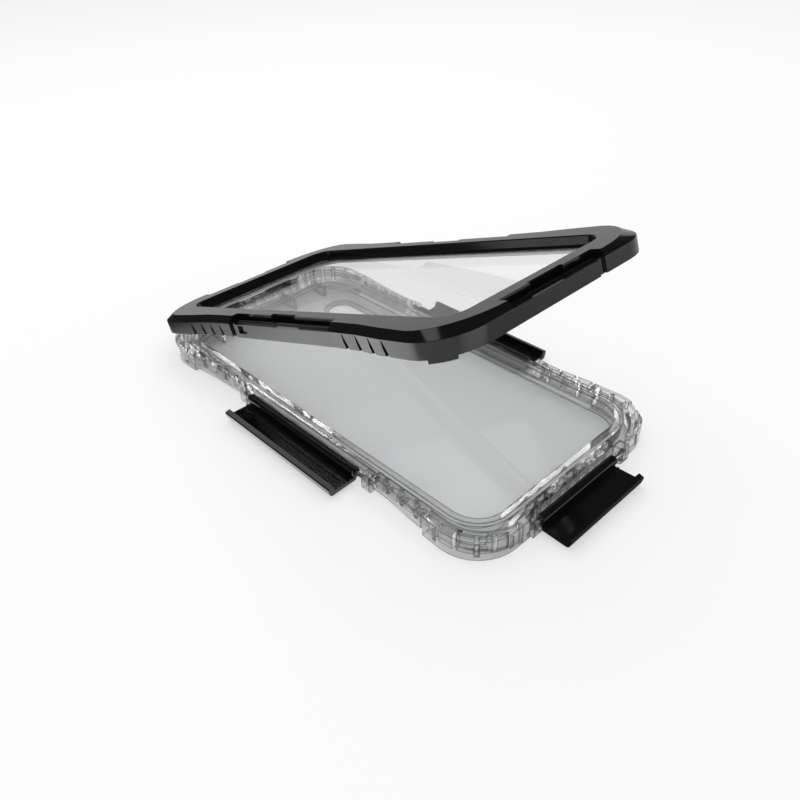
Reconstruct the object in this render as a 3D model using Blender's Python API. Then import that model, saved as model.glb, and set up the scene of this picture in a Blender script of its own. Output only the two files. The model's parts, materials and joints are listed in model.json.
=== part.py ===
"""Waterproof phone case: a clear tray with corner bumpers, a black lid frame with a
clear window, three over-the-edge latches and a pinned hinge at one short end.

Frame: +Z up, the tray's back on Z = 0, +Y towards the hinge end, origin in the
middle of the tray's back. The lid is modelled shut and the latches are modelled
shut, then each hangs on an empty that lies on its joint's axis and turns it open.
"""

import math

import bmesh
import bpy
from mathutils import Matrix, Vector

MM = 0.001

# What the case is made to hold
PHONE_WIDTH = 70.9 * MM
PHONE_LENGTH = 143.6 * MM
PHONE_THICKNESS = 7.7 * MM
PHONE_SIDE_PLAY = 0.75 * MM
PHONE_END_PLAY = 0.4 * MM
PHONE_TOP_PLAY = 0.45 * MM
PHONE_HEAD_ROOM = 8.8 * MM

# Gap left between pieces that touch on the real product
CLEARANCE = 0.3 * MM

# Facets
CORNER_STEPS = 8
SIDE_STEPS = 12
BARREL_STEPS = 18
PIN_SIDES = 16
EAR_EDGE_STEPS = 4

# Tray
FLOOR_THICKNESS = 1.9 * MM
RIM_HEIGHT = 7.4 * MM
BAY_CORNER_RADIUS = 9.9 * MM
RIM_WIDTH = 2.1 * MM
GUTTER_WIDTH = 1.0 * MM
GUTTER_FLOOR = 2.3 * MM
SIDE_WALL = 1.2 * MM
END_WALL = 3.1 * MM
CORE_CORNER_RADIUS = 15.0 * MM
UNDERCUT_HEIGHT = 2.3 * MM
UNDERCUT_WIDTH = 2.4 * MM

# Outer outline of the tray and its bumpers
OUTLINE_PROUD = 0.4 * MM
OUTLINE_FLARE = 2.3 * MM
OUTLINE_CORNER_RADIUS = 15.2 * MM
FLARE_FROM = 38.0 * MM
FLARE_TO = 68.0 * MM

# Cells and slots along the long sides, and the comb along the free end
STRIP_WALL = 1.2 * MM
STRIP_RIDGE = 0.5 * MM
STRIP_RIB = 0.8 * MM
GRIP_COUNT = 4
GRIP_PITCH = 6.5 * MM
GRIP_HINGE_SETBACK = 5.0 * MM
GRIP_FREE_SETBACK = 1.0 * MM
SLOT_WIDTH = 1.0 * MM
SLOT_DEPTH = 2.6 * MM
COMB_PITCH = 4.7 * MM
COMB_RIB = 0.9 * MM
COMB_CELLS = 9
COMB_WALL = 0.8 * MM

# Stops that hold the phone's top edge
STOP_POSITIONS = (-26.0 * MM, -10.0 * MM, 10.0 * MM, 26.0 * MM)
STOP_THICKNESS = 1.2 * MM
STOP_HEIGHT = 4.4 * MM

# Camera window in the tray's back
CAMERA_X = 23.9 * MM
CAMERA_FROM_END = 28.9 * MM
CAMERA_WIDTH = 11.0 * MM
CAMERA_HEIGHT = 25.0 * MM
CAMERA_REBATE = 1.5 * MM
CAMERA_SHELF = 0.9 * MM

# Corner bumpers
BUMPER_END_Y = 61.3 * MM
BUMPER_END_X = 27.0 * MM
BUMPER_TOP = 7.3 * MM
BUMPER_SKIN = 1.2 * MM
BUMPER_INNER_SKIN = 1.0 * MM
BUMPER_FLOOR = 1.6 * MM
BUMPER_RIB = 1.0 * MM
BUMPER_RIB_ANGLES = (-10.0, 16.0, 42.0, 63.0, 83.0)
SLOT_ANGLES = (-10.0, 42.0, 83.0)
CROSS_ANGLE = 42.0
CROSS_DEPTH = 0.6 * MM
CROSS_BAR = 1.2 * MM
CROSS_LENGTH = 6.0 * MM

# Latch gaps, ears and pins
PIN_RADIUS = 0.7 * MM
PIN_SETBACK = 0.8 * MM
BARREL_RADIUS = 1.7 * MM
PIVOT_HEIGHT = 4.3 * MM
SIDE_LATCH_CENTRE = -2.8 * MM
SIDE_LATCH_LENGTH = 56.4 * MM
SIDE_LATCH_PLAY = 0.9 * MM
SIDE_BARE_PIN = 4.1 * MM
END_LATCH_LENGTH = 36.8 * MM
END_LATCH_PLAY = 0.5 * MM
END_BARE_PIN = 2.9 * MM
EAR_WIDTH = 3.2 * MM
EAR_REACH = 1.5 * MM
EAR_LOW = 1.0 * MM
EAR_HIGH = 7.0 * MM
EAR_EDGE_RADIUS = 0.9 * MM
HINGE_MIDDLE_EAR = 14.0 * MM
KNUCKLE_PLAY = 0.4 * MM

# Latches
LATCH_OPEN_ANGLE = 105.0
HEEL_REACH = 3.0 * MM
HEEL_HEIGHT = 1.1 * MM
HEEL_ROUND = 0.5 * MM
HEEL_ANGLE = 20.0
ROOT_REACH = 1.45 * MM
ROOT_HEIGHT = 2.3 * MM
TOP_REACH = 1.0 * MM
SEAM_RIDGE_WIDTH = 0.6 * MM
SEAM_RIDGE_RISE = 0.5 * MM
SEAM_RIDGE_DRAFT = 0.12 * MM
LIP_THICKNESS = 2.1 * MM
LIP_REACH = 2.2 * MM
LIP_CHAMFER = 0.7 * MM
PANEL_DEPTH = 0.35 * MM
PANEL_MARGIN = 1.6 * MM
PANEL_START = 2.8 * MM
PANEL_STOP = 0.35 * MM
KEY_LENGTH = 4.7 * MM
KEY_FROM_END = 4.8 * MM
KEY_START = 3.4 * MM
KEY_WIDTH = 1.8 * MM
KEY_RISE = 1.3 * MM
KEY_POCKET_DEPTH = 0.9 * MM
KEY_POCKET_LOW = 4.9 * MM
KEY_POCKET_HIGH = 7.6 * MM

# Lid
LID_OPEN_ANGLE = 19.7
LID_SET_IN = 0.7 * MM
LID_FLARE = 2.6 * MM
LID_CORNER_RADIUS = 14.5 * MM
LID_CHAMFER_HEIGHT = 2.1 * MM
LID_CHAMFER_SIDE = 2.2 * MM
LID_CHAMFER_END = 1.0 * MM
LID_TOP_CORNER_X = 22.0 * MM
LID_TOP_CORNER_Y = 16.0 * MM
SKIRT_THICKNESS = 1.4 * MM
CHANNEL_CEILING = 4.0 * MM
OPENING_OVERLAP = 2.45 * MM
OPENING_END_PLAY = 1.9 * MM
OPENING_SHIFT = -0.8 * MM
OPENING_RADIUS = 6.8 * MM
EDGE_BREAK = 0.25 * MM
INNER_WALL_DEPTH = 2.8 * MM
INNER_WALL_DRAFT = 0.5 * MM
LEDGE_WIDTH = 1.3 * MM
LEDGE_DEPTH = 3.3 * MM
LIP_UNDERSIDE = 3.7 * MM
WINDOW_THICKNESS = 0.5 * MM
WINDOW_SIDE_MARGIN = 1.6 * MM
WINDOW_END_MARGIN = 0.8 * MM
REBATE_DEPTH = 4.6 * MM

# Seal in the lid
SEAL_WIDTH = 1.2 * MM
SEAL_TOP = 5.0 * MM
GROOVE_CEILING = 4.7 * MM
GROOVE_WALL = 0.7 * MM
GROOVE_DEPTH = 5.5 * MM

# Latch seats in the lid
SEAT_PLAY = 1.2 * MM
HINGE_SEAT_HALF = 20.4 * MM
SEAT_WIDTH = 4.4 * MM
SEAT_LEDGE = 2.2 * MM
SEAT_POCKET = 3.3 * MM
RIDGE_INNER = 2.9 * MM
RIDGE_OUTER = 2.3 * MM
RIDGE_TOP = 1.7 * MM
FINGER_NOTCH_LENGTH = 14.0 * MM
FINGER_NOTCH_WIDTH = 1.2 * MM
WALL_NOTCH_WIDTH = 3.0 * MM
WALL_NOTCH_DEPTH = 0.8 * MM

# Grip grooves in the lid's long walls
GROOVE_TIP_WIDTH = 0.3 * MM
GROOVE_WIDTH = 1.5 * MM
GROOVE_SLANT = 1.5 * MM
GRIP_GROOVE_DEPTH = 0.6 * MM

# The lid's leaf at the hinge
LEAF_THICKNESS = 1.6 * MM

# Corner tabs of the lid's skirt
TAB_DROP = 1.0 * MM
TAB_ANGLE = 36.0
TAB_LENGTH = 7.5 * MM

# Sizes that follow from the ones above
BAY_HALF_WIDTH = PHONE_WIDTH / 2 + PHONE_SIDE_PLAY
BAY_HALF_LENGTH = (PHONE_LENGTH + PHONE_END_PLAY + PHONE_HEAD_ROOM) / 2
CAMERA_Y = BAY_HALF_LENGTH - CAMERA_FROM_END
GUTTER_INSET = RIM_WIDTH + GUTTER_WIDTH
CORE_HALF_WIDTH = BAY_HALF_WIDTH + GUTTER_INSET + SIDE_WALL
CORE_HALF_LENGTH = BAY_HALF_LENGTH + GUTTER_INSET + END_WALL
SIDE_PIVOT = CORE_HALF_WIDTH + CLEARANCE + BARREL_RADIUS
END_PIVOT = CORE_HALF_LENGTH + CLEARANCE + BARREL_RADIUS
SIDE_GAP_HINGE = SIDE_LATCH_CENTRE + SIDE_LATCH_LENGTH / 2 + SIDE_LATCH_PLAY + EAR_WIDTH
SIDE_GAP_FREE = SIDE_LATCH_CENTRE - SIDE_LATCH_LENGTH / 2 - SIDE_BARE_PIN - EAR_WIDTH
END_LATCH_CENTRE = (END_LATCH_PLAY - END_BARE_PIN) / 2
END_GAP_HALF = (END_LATCH_LENGTH + END_LATCH_PLAY + END_BARE_PIN) / 2 + EAR_WIDTH
GRIP_HINGE_START = SIDE_GAP_HINGE + GRIP_HINGE_SETBACK
GRIP_FREE_START = SIDE_GAP_FREE - GRIP_FREE_SETBACK
OPENING_WIDTH = PHONE_WIDTH - 2 * OPENING_OVERLAP
OPENING_LENGTH = PHONE_LENGTH + 2 * OPENING_END_PLAY
LID_HALF_WIDTH = SIDE_PIVOT - LID_SET_IN
LID_HALF_LENGTH = END_PIVOT - LID_SET_IN
OUTLINE_HALF_WIDTH = LID_HALF_WIDTH + OUTLINE_PROUD
OUTLINE_HALF_LENGTH = LID_HALF_LENGTH + OUTLINE_PROUD
WINDOW_LOW = FLOOR_THICKNESS + PHONE_THICKNESS + PHONE_TOP_PLAY
LID_TOP = WINDOW_LOW + WINDOW_THICKNESS + CLEARANCE + LIP_UNDERSIDE
SKIRT_DEPTH = LID_TOP - RIM_HEIGHT - CLEARANCE
LATCH_FACE = CLEARANCE - LID_SET_IN
LIP_LOW = LID_TOP - RIDGE_TOP + CLEARANCE - PIVOT_HEIGHT
LIP_HIGH = LIP_LOW + LIP_THICKNESS
PIN_HOLE_RADIUS = PIN_RADIUS + CLEARANCE
OVERSHOOT = 2.0 * MM
BITE = 0.4 * MM


def make_collection(name):
    """A collection linked to the scene."""
    collection = bpy.data.collections.new(name)
    bpy.context.scene.collection.children.link(collection)
    return collection


def make_material(name, colour, roughness, metallic=0.0, alpha=1.0, transmission=0.0):
    """A Principled material with plain values."""
    material = bpy.data.materials.new(name)
    material.use_nodes = True
    material.diffuse_color = (*colour, alpha)
    shader = material.node_tree.nodes["Principled BSDF"]
    shader.inputs["Base Color"].default_value = (*colour, 1.0)
    shader.inputs["Roughness"].default_value = roughness
    shader.inputs["Metallic"].default_value = metallic
    shader.inputs["Alpha"].default_value = alpha
    shader.inputs["Transmission Weight"].default_value = transmission
    return material


def add_object(name, mesh, collection):
    """An object for a mesh, in a collection."""
    item = bpy.data.objects.new(name, mesh)
    collection.objects.link(item)
    return item


def as_cutter(item):
    """Marks an object as a tool that is left out of the model."""
    item.hide_render = True
    item.display_type = "WIRE"
    return item


def smooth(item, angle=35.0):
    """Shades a piece smooth apart from its real edges."""
    item.data.shade_smooth()
    item.data.set_sharp_from_angle(angle=math.radians(angle))


def combine(target, tool, operation):
    """Adds an exact Boolean of a tool to a piece."""
    modifier = target.modifiers.new(tool.name, "BOOLEAN")
    modifier.operation = operation
    modifier.solver = "EXACT"
    modifier.object = tool
    as_cutter(tool)


def settle(item):
    """Replaces a piece's mesh by its finished one and removes the tools it was cut with."""
    evaluated = item.evaluated_get(bpy.context.evaluated_depsgraph_get())
    finished = bpy.data.meshes.new_from_object(evaluated)
    tools = [modifier.object for modifier in item.modifiers]
    tools += [modifier.object for tool in tools for modifier in tool.modifiers]
    item.modifiers.clear()
    item.data = finished
    for tool in tools:
        bpy.data.objects.remove(tool)


def rounded_outline(half_width, half_length, radius_x, radius_y, flare=0.0, shift=0.0):
    """Points round a rectangle with elliptic corners, anticlockwise.

    half_width is the width in the middle of the long sides; flare is what each
    long side gains towards the corners, and shift moves the outline along Y.
    """
    corner_width = half_width + flare
    straight = half_length - radius_y

    def side_x(y):
        share = min(max((abs(y) - FLARE_FROM) / (FLARE_TO - FLARE_FROM), 0.0), 1.0)
        return half_width + flare * share * share * (3.0 - 2.0 * share)

    points = []
    for sign in (1, -1):
        for step in range(SIDE_STEPS):
            y = straight * (2.0 * step / SIDE_STEPS - 1.0)
            points.append((sign * side_x(y), sign * y + shift))
        for quarter in (0, 1):
            turn_x = sign * (corner_width - radius_x) * (1 - 2 * quarter)
            for step in range(CORNER_STEPS):
                angle = math.radians(90.0 * (quarter + step / CORNER_STEPS))
                x = turn_x + sign * radius_x * math.cos(angle)
                y = sign * (straight + radius_y * math.sin(angle))
                points.append((x, y + shift))
            if quarter == 0:
                points.append((turn_x, sign * half_length + shift))
    return points


def at_height(outline, height):
    """The outline's points in space at one height."""
    return [(x, y, height) for x, y in outline]


def ring_skin(name, rings, collection):
    """A closed band: each ring of points is skinned to the next and the last to the first."""
    mesh_data = bmesh.new()
    loops = [[mesh_data.verts.new(point) for point in ring] for ring in rings]
    for number, loop in enumerate(loops):
        after = loops[(number + 1) % len(loops)]
        for index in range(len(loop)):
            following = (index + 1) % len(loop)
            mesh_data.faces.new((loop[index], loop[following], after[following], after[index]))
    bmesh.ops.recalc_face_normals(mesh_data, faces=mesh_data.faces)
    mesh = bpy.data.meshes.new(name)
    mesh_data.to_mesh(mesh)
    mesh_data.free()
    return add_object(name, mesh, collection)


def flat_solid(name, outline, low, high, collection, place=None):
    """A flat outline given a thickness: a filled 2D curve, made a mesh.

    The outline lies in the XY plane from low to high, and place then puts it.
    """
    curve = bpy.data.curves.new(name, "CURVE")
    curve.dimensions = "2D"
    curve.fill_mode = "BOTH"
    curve.extrude = (high - low) / 2
    spline = curve.splines.new("POLY")
    spline.points.add(len(outline) - 1)
    for point, (x, y) in zip(spline.points, outline):
        point.co = (x, y, 0.0, 1.0)
    spline.use_cyclic_u = True
    source = add_object(name + "_outline", curve, collection)
    evaluated = source.evaluated_get(bpy.context.evaluated_depsgraph_get())
    mesh = bpy.data.meshes.new_from_object(evaluated)
    mesh.name = name
    bpy.data.objects.remove(source)
    mesh_data = bmesh.new()
    mesh_data.from_mesh(mesh)
    bmesh.ops.remove_doubles(mesh_data, verts=mesh_data.verts, dist=0.00001)
    bmesh.ops.translate(mesh_data, verts=mesh_data.verts, vec=(0, 0, (low + high) / 2))
    if place is not None:
        bmesh.ops.transform(mesh_data, matrix=place, verts=mesh_data.verts)
    bmesh.ops.recalc_face_normals(mesh_data, faces=mesh_data.faces)
    mesh_data.to_mesh(mesh)
    mesh_data.free()
    return add_object(name, mesh, collection)


def boxes(name, corners, collection, place=None):
    """One object of separate boxes, each given by its low and high corner."""
    mesh_data = bmesh.new()
    for low, high in corners:
        size = Vector(high) - Vector(low)
        middle = (Vector(high) + Vector(low)) / 2
        matrix = Matrix.Translation(middle) @ Matrix.Diagonal((*size, 1.0))
        bmesh.ops.create_cube(mesh_data, size=1.0, matrix=matrix)
    if place is not None:
        bmesh.ops.transform(mesh_data, matrix=place, verts=mesh_data.verts)
    mesh = bpy.data.meshes.new(name)
    mesh_data.to_mesh(mesh)
    mesh_data.free()
    return add_object(name, mesh, collection)


def rods(name, spans, radius, sides, collection):
    """One object of separate round bars, each from a start point to an end point."""
    mesh_data = bmesh.new()
    for start, end in spans:
        along = Vector(end) - Vector(start)
        turn = Vector((0, 0, 1)).rotation_difference(along.normalized()).to_matrix().to_4x4()
        place = Matrix.Translation((Vector(start) + Vector(end)) / 2) @ turn
        bmesh.ops.create_cone(mesh_data, cap_ends=True, cap_tris=False, segments=sides,
                              radius1=radius, radius2=radius, depth=along.length, matrix=place)
    mesh = bpy.data.meshes.new(name)
    mesh_data.to_mesh(mesh)
    mesh_data.free()
    return add_object(name, mesh, collection)


def merge_objects(name, items):
    """Joins tools that stay apart from each other into one object."""
    mesh_data = bmesh.new()
    for item in items:
        mesh_data.from_mesh(item.data)
    mesh = bpy.data.meshes.new(name)
    mesh_data.to_mesh(mesh)
    mesh_data.free()
    collection = items[0].users_collection[0]
    for item in items:
        bpy.data.objects.remove(item)
    return add_object(name, mesh, collection)


def along_x(centre_y, centre_z, flip=False):
    """Puts an outline drawn as (outward, up) into the YZ plane, with its thickness on X."""
    outward = -1.0 if flip else 1.0
    return Matrix(((0, 0, 1, 0), (outward, 0, 0, centre_y), (0, 1, 0, centre_z), (0, 0, 0, 1)))


def along_y(centre_x, centre_z, flip=False):
    """Puts an outline drawn as (outward, up) into the XZ plane, with its thickness on Y."""
    outward = -1.0 if flip else 1.0
    return Matrix(((outward, 0, 0, centre_x), (0, 0, 1, 0), (0, 1, 0, centre_z), (0, 0, 0, 1)))


def arc(radius, start, end, steps):
    """Points on a circle about the origin, angles in degrees."""
    angles = [math.radians(start + (end - start) * step / steps) for step in range(steps + 1)]
    return [(radius * math.cos(angle), radius * math.sin(angle)) for angle in angles]


def inner_outline(offset):
    """The bay's outline moved outwards by an offset."""
    return rounded_outline(BAY_HALF_WIDTH + offset, BAY_HALF_LENGTH + offset,
                           BAY_CORNER_RADIUS + offset, BAY_CORNER_RADIUS + offset)


def outer_outline(inset=0.0):
    """The outline of the tray with its bumpers, moved inwards by an inset."""
    radius = OUTLINE_CORNER_RADIUS - inset
    return rounded_outline(OUTLINE_HALF_WIDTH - inset, OUTLINE_HALF_LENGTH - inset,
                           radius, radius, OUTLINE_FLARE)


def core_outline(offset=0.0):
    """The tray's wall where the corner bumpers and the latches stand against it."""
    radius = CORE_CORNER_RADIUS + offset
    return rounded_outline(CORE_HALF_WIDTH + offset, CORE_HALF_LENGTH + offset, radius, radius)


def round_ear_profile():
    """An ear at the hinge seen along its pin, about the pin's centre, as (outward, up)."""
    root = -(BARREL_RADIUS + CLEARANCE + BITE)
    return [(root, -BARREL_RADIUS), *arc(BARREL_RADIUS, -90.0, 90.0, BARREL_STEPS // 2),
            (root, BARREL_RADIUS)]


def block_ear_profile():
    """A latch's ear seen along its pin: a block with its two outer edges rounded."""
    root = -(BARREL_RADIUS + CLEARANCE + BITE)
    low = EAR_LOW - PIVOT_HEIGHT
    high = EAR_HIGH - PIVOT_HEIGHT
    turn = EAR_REACH - EAR_EDGE_RADIUS
    lower = [(turn + x, low + EAR_EDGE_RADIUS + y)
             for x, y in arc(EAR_EDGE_RADIUS, -90.0, 0.0, EAR_EDGE_STEPS)]
    upper = [(turn + x, high - EAR_EDGE_RADIUS + y)
             for x, y in arc(EAR_EDGE_RADIUS, 0.0, 90.0, EAR_EDGE_STEPS)]
    return [(root, low), *lower, *upper, (root, high)]


def ear_spans():
    """The low and high end of each ear along its pin: at the sides, the ends and the hinge's middle."""
    side_ears = ((SIDE_GAP_FREE - BITE, SIDE_GAP_FREE + EAR_WIDTH),
                 (SIDE_GAP_HINGE - EAR_WIDTH, SIDE_GAP_HINGE + BITE))
    end_ears = ((-END_GAP_HALF - BITE, -END_GAP_HALF + EAR_WIDTH),
                (END_GAP_HALF - EAR_WIDTH, END_GAP_HALF + BITE))
    middle_ear = (-HINGE_MIDDLE_EAR / 2, HINGE_MIDDLE_EAR / 2)
    return side_ears, end_ears, middle_ear


def grip_positions():
    """Where the slots of the tray and the grooves of the lid lie along Y."""
    hinge_side = [GRIP_HINGE_START + GRIP_PITCH * number for number in range(GRIP_COUNT)]
    free_side = [GRIP_FREE_START - GRIP_PITCH * number for number in range(GRIP_COUNT)]
    return hinge_side, free_side


def tray_ears(cutters):
    """The ears that carry the latch pins and the hinge pin, ready to join to the tray."""
    side_ears, end_ears, middle_ear = ear_spans()
    block = block_ear_profile()
    pieces = []
    for flip in (False, True):
        place = along_y(-SIDE_PIVOT if flip else SIDE_PIVOT, PIVOT_HEIGHT, flip)
        for low, high in side_ears:
            pieces.append(flat_solid("side_ear", block, low, high, cutters, place))
    place = along_x(-END_PIVOT, PIVOT_HEIGHT, True)
    for low, high in end_ears:
        pieces.append(flat_solid("end_ear", block, low, high, cutters, place))
    place = along_x(END_PIVOT, PIVOT_HEIGHT)
    for low, high in (*end_ears, middle_ear):
        pieces.append(flat_solid("hinge_ear", round_ear_profile(), low, high, cutters, place))
    return merge_objects("tray_ears", pieces)


def latch_gaps(cutters):
    """The recesses in the tray's wall that the latches and the hinge leaf stand in."""
    far = OUTLINE_HALF_LENGTH + OVERSHOOT * 4
    low, high = -OVERSHOOT, RIM_HEIGHT + OVERSHOOT
    corners = []
    for sign in (-1, 1):
        xs = sorted((sign * CORE_HALF_WIDTH, sign * far))
        corners.append(((xs[0], SIDE_GAP_FREE, low), (xs[1], SIDE_GAP_HINGE, high)))
        ys = sorted((sign * CORE_HALF_LENGTH, sign * far))
        corners.append(((-END_GAP_HALF, ys[0], low), (END_GAP_HALF, ys[1], high)))
    return boxes("latch_gaps", corners, cutters)


def strip_cells(cutters):
    """The open cells between the ribs along each long side, outside the narrow gutter."""
    corners = []
    inner = BAY_HALF_WIDTH + GUTTER_INSET + STRIP_RIDGE
    outer = OUTLINE_HALF_WIDTH - STRIP_WALL
    for starts in grip_positions():
        for y in starts:
            low = y - GRIP_PITCH / 2 + STRIP_RIB / 2
            high = y + GRIP_PITCH / 2 - STRIP_RIB / 2
            if low < SIDE_GAP_FREE:
                high = min(high, SIDE_GAP_FREE - STRIP_RIB)
            for sign in (-1, 1):
                xs = sorted((sign * inner, sign * outer))
                corners.append(((xs[0], low, GUTTER_FLOOR), (xs[1], high, RIM_HEIGHT + OVERSHOOT)))
    return boxes("strip_cells", corners, cutters)


def strip_slots(cutters):
    """Short slots that run down from the top of the strips' outer wall."""
    corners = []
    outer = OUTLINE_HALF_WIDTH - STRIP_WALL - BITE
    far = OUTLINE_HALF_WIDTH + OUTLINE_FLARE + OVERSHOOT
    for starts in grip_positions():
        for y in starts:
            for sign in (-1, 1):
                xs = sorted((sign * outer, sign * far))
                low = (xs[0], y - SLOT_WIDTH / 2, RIM_HEIGHT - SLOT_DEPTH)
                corners.append((low, (xs[1], y + SLOT_WIDTH / 2, RIM_HEIGHT + OVERSHOOT)))
    return boxes("strip_slots", corners, cutters)


def end_comb(cutters):
    """The row of cells in the wall at each short end."""
    corners = []
    inner = BAY_HALF_LENGTH + GUTTER_INSET + COMB_WALL
    outer = CORE_HALF_LENGTH - COMB_WALL
    for number in range(COMB_CELLS):
        x = COMB_PITCH * (number - (COMB_CELLS - 1) / 2)
        half = (COMB_PITCH - COMB_RIB) / 2
        for sign in (-1, 1):
            ys = sorted((sign * inner, sign * outer))
            low = (x - half, ys[0], GUTTER_FLOOR)
            corners.append((low, (x + half, ys[1], RIM_HEIGHT + OVERSHOOT)))
    return boxes("end_comb", corners, cutters)


def corner_region(name, margin, cutters):
    """The four corner zones outside the tray's core, where the bumpers go."""
    far = OUTLINE_HALF_LENGTH + OVERSHOOT * 4
    low, high = -OVERSHOOT, RIM_HEIGHT + OVERSHOOT
    corners = []
    for sign_x in (-1, 1):
        for sign_y in (-1, 1):
            xs = sorted((sign_x * (BUMPER_END_X - margin), sign_x * far))
            ys = sorted((sign_y * (BUMPER_END_Y - margin), sign_y * far))
            corners.append(((xs[0], ys[0], low), (xs[1], ys[1], high)))
    region = boxes(name, corners, cutters)
    core = flat_solid(name + "_core", core_outline(CLEARANCE - margin),
                      low - OVERSHOOT, high + OVERSHOOT, cutters)
    combine(region, core, "DIFFERENCE")
    return region


def undercuts(cutters):
    """The slope under the outer edge of each long strip."""
    pieces = []
    edge = OUTLINE_HALF_WIDTH
    outline = [(-UNDERCUT_WIDTH, 0.0), (-UNDERCUT_WIDTH, -OVERSHOOT),
               (OUTLINE_FLARE + OVERSHOOT, -OVERSHOOT),
               (OUTLINE_FLARE + OVERSHOOT, UNDERCUT_HEIGHT), (0.0, UNDERCUT_HEIGHT)]
    for flip in (False, True):
        place = along_y(-edge if flip else edge, 0.0, flip)
        pieces.append(flat_solid("undercut", outline, -BUMPER_END_Y, BUMPER_END_Y, cutters, place))
    return merge_objects("undercuts", pieces)


def pill_outline(width, height):
    """A slot shape with round ends, upright, about the camera window's centre."""
    radius = width / 2
    reach = height / 2 - radius
    top = [(x, y + reach) for x, y in arc(radius, 0.0, 180.0, CORNER_STEPS * 2)]
    bottom = [(x, y - reach) for x, y in arc(radius, 180.0, 360.0, CORNER_STEPS * 2)]
    return [(x + CAMERA_X, y + CAMERA_Y) for x, y in top + bottom]


def build_tray(parts, cutters, material):
    """The clear tray: floor, sealing rim, gutter, strips, comb, ears and camera opening."""
    tray = flat_solid("tray", outer_outline(), 0.0, RIM_HEIGHT, parts)
    tray.data.materials.append(material)
    high = RIM_HEIGHT + OVERSHOOT
    combine(tray, corner_region("corner_zones", CLEARANCE, cutters), "DIFFERENCE")
    combine(tray, undercuts(cutters), "DIFFERENCE")
    combine(tray, latch_gaps(cutters), "DIFFERENCE")
    bay = flat_solid("bay", inner_outline(0.0), FLOOR_THICKNESS, high, cutters)
    combine(tray, bay, "DIFFERENCE")
    rim, gutter = inner_outline(RIM_WIDTH), inner_outline(GUTTER_INSET)
    gutter_rings = [at_height(rim, GUTTER_FLOOR), at_height(gutter, GUTTER_FLOOR),
                    at_height(gutter, high), at_height(rim, high)]
    combine(tray, ring_skin("gutter", gutter_rings, cutters), "DIFFERENCE")
    combine(tray, strip_cells(cutters), "DIFFERENCE")
    combine(tray, strip_slots(cutters), "DIFFERENCE")
    combine(tray, end_comb(cutters), "DIFFERENCE")
    combine(tray, phone_stops(cutters), "UNION")
    combine(tray, tray_ears(cutters), "UNION")
    holes = rods("pin_holes", pin_lines(PIN_SETBACK - CLEARANCE), PIN_HOLE_RADIUS, PIN_SIDES, cutters)
    combine(tray, holes, "DIFFERENCE")
    hole = flat_solid("camera_hole", pill_outline(CAMERA_WIDTH, CAMERA_HEIGHT),
                      -OVERSHOOT, FLOOR_THICKNESS + OVERSHOOT, cutters)
    combine(tray, hole, "DIFFERENCE")
    rebate = pill_outline(CAMERA_WIDTH + 2 * CAMERA_REBATE, CAMERA_HEIGHT + 2 * CAMERA_REBATE)
    step = flat_solid("camera_rebate", rebate, CAMERA_SHELF, FLOOR_THICKNESS + OVERSHOOT, cutters)
    combine(tray, step, "DIFFERENCE")
    return tray


def phone_stops(cutters):
    """Upright fins at the hinge end that the phone's top edge stands against."""
    phone_low = -BAY_HALF_LENGTH + PHONE_END_PLAY
    face = phone_low + PHONE_LENGTH + PHONE_END_PLAY
    corners = []
    for x in STOP_POSITIONS:
        low = (x - STOP_THICKNESS / 2, face, FLOOR_THICKNESS - BITE)
        high = (x + STOP_THICKNESS / 2, BAY_HALF_LENGTH + BITE, FLOOR_THICKNESS + STOP_HEIGHT)
        corners.append((low, high))
    return boxes("phone_stops", corners, cutters)


def pin_lines(setback):
    """The start and end of each pin or pin hole: left, right, free end, hinge end."""
    side_low = SIDE_GAP_FREE + setback
    side_high = SIDE_GAP_HINGE - setback
    end = END_GAP_HALF - setback
    return [((-SIDE_PIVOT, side_low, PIVOT_HEIGHT), (-SIDE_PIVOT, side_high, PIVOT_HEIGHT)),
            ((SIDE_PIVOT, side_low, PIVOT_HEIGHT), (SIDE_PIVOT, side_high, PIVOT_HEIGHT)),
            ((-end, -END_PIVOT, PIVOT_HEIGHT), (end, -END_PIVOT, PIVOT_HEIGHT)),
            ((-end, END_PIVOT, PIVOT_HEIGHT), (end, END_PIVOT, PIVOT_HEIGHT))]


def build_camera_window(parts, material):
    """The clear lens bonded in the step of the tray's back."""
    inset = CAMERA_REBATE - CLEARANCE
    outline = pill_outline(CAMERA_WIDTH + 2 * inset, CAMERA_HEIGHT + 2 * inset)
    lens = flat_solid("camera_window", outline, CAMERA_SHELF + CLEARANCE, FLOOR_THICKNESS, parts)
    lens.data.materials.append(material)
    return lens


def corner_place(turn, angle, sign_x, sign_y):
    """Puts a shape drawn outwards along X at an angle round a corner, from the long side on."""
    direction = math.atan2(sign_y * math.sin(math.radians(angle)),
                           sign_x * math.cos(math.radians(angle)))
    return Matrix.Translation(turn) @ Matrix.Rotation(direction, 4, "Z")


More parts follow.
